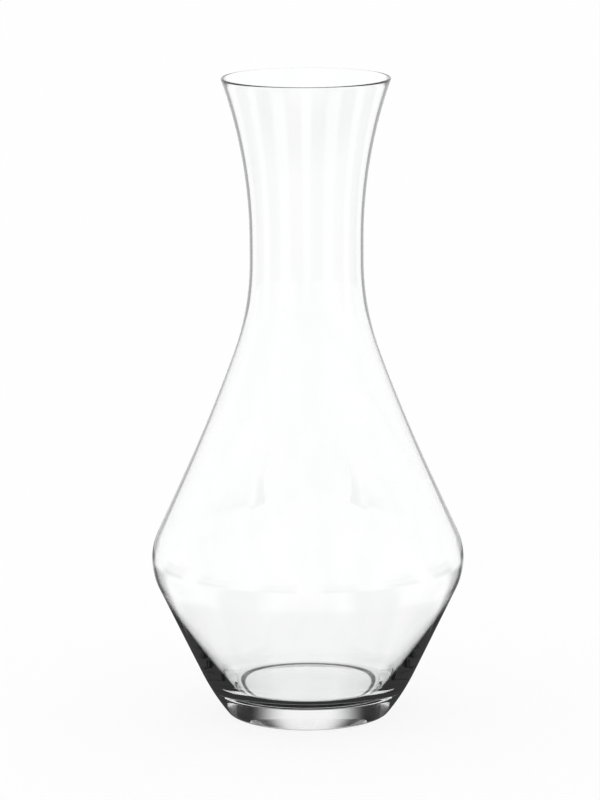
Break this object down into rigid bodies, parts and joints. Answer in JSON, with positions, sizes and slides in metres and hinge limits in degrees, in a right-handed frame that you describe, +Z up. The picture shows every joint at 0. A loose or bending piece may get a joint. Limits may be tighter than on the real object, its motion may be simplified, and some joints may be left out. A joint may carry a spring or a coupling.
{
  "type": "decanter",
  "caption": "Clear glass wine decanter with a flared mouth, waisted neck, sloping shoulder, round belly and thick base; holds and pours wine.",
  "frame": {"origin": "centre of the ring that the decanter stands on, in the plane of the table", "axes": "+Z up along the axis of the vessel, towards the mouth; X and Y are alike, because the vessel is round"},
  "size_m": [0.1216, 0.1216, 0.25],
  "materials": {
    "glass": "clear, fire polished"
  },
  "bodies": {
    "root": {"rim": "glass", "neck": "glass", "shoulder": "glass", "side": "glass", "belly": "glass", "bowl": "glass", "base": "glass"}
  },
  "joints": []
}
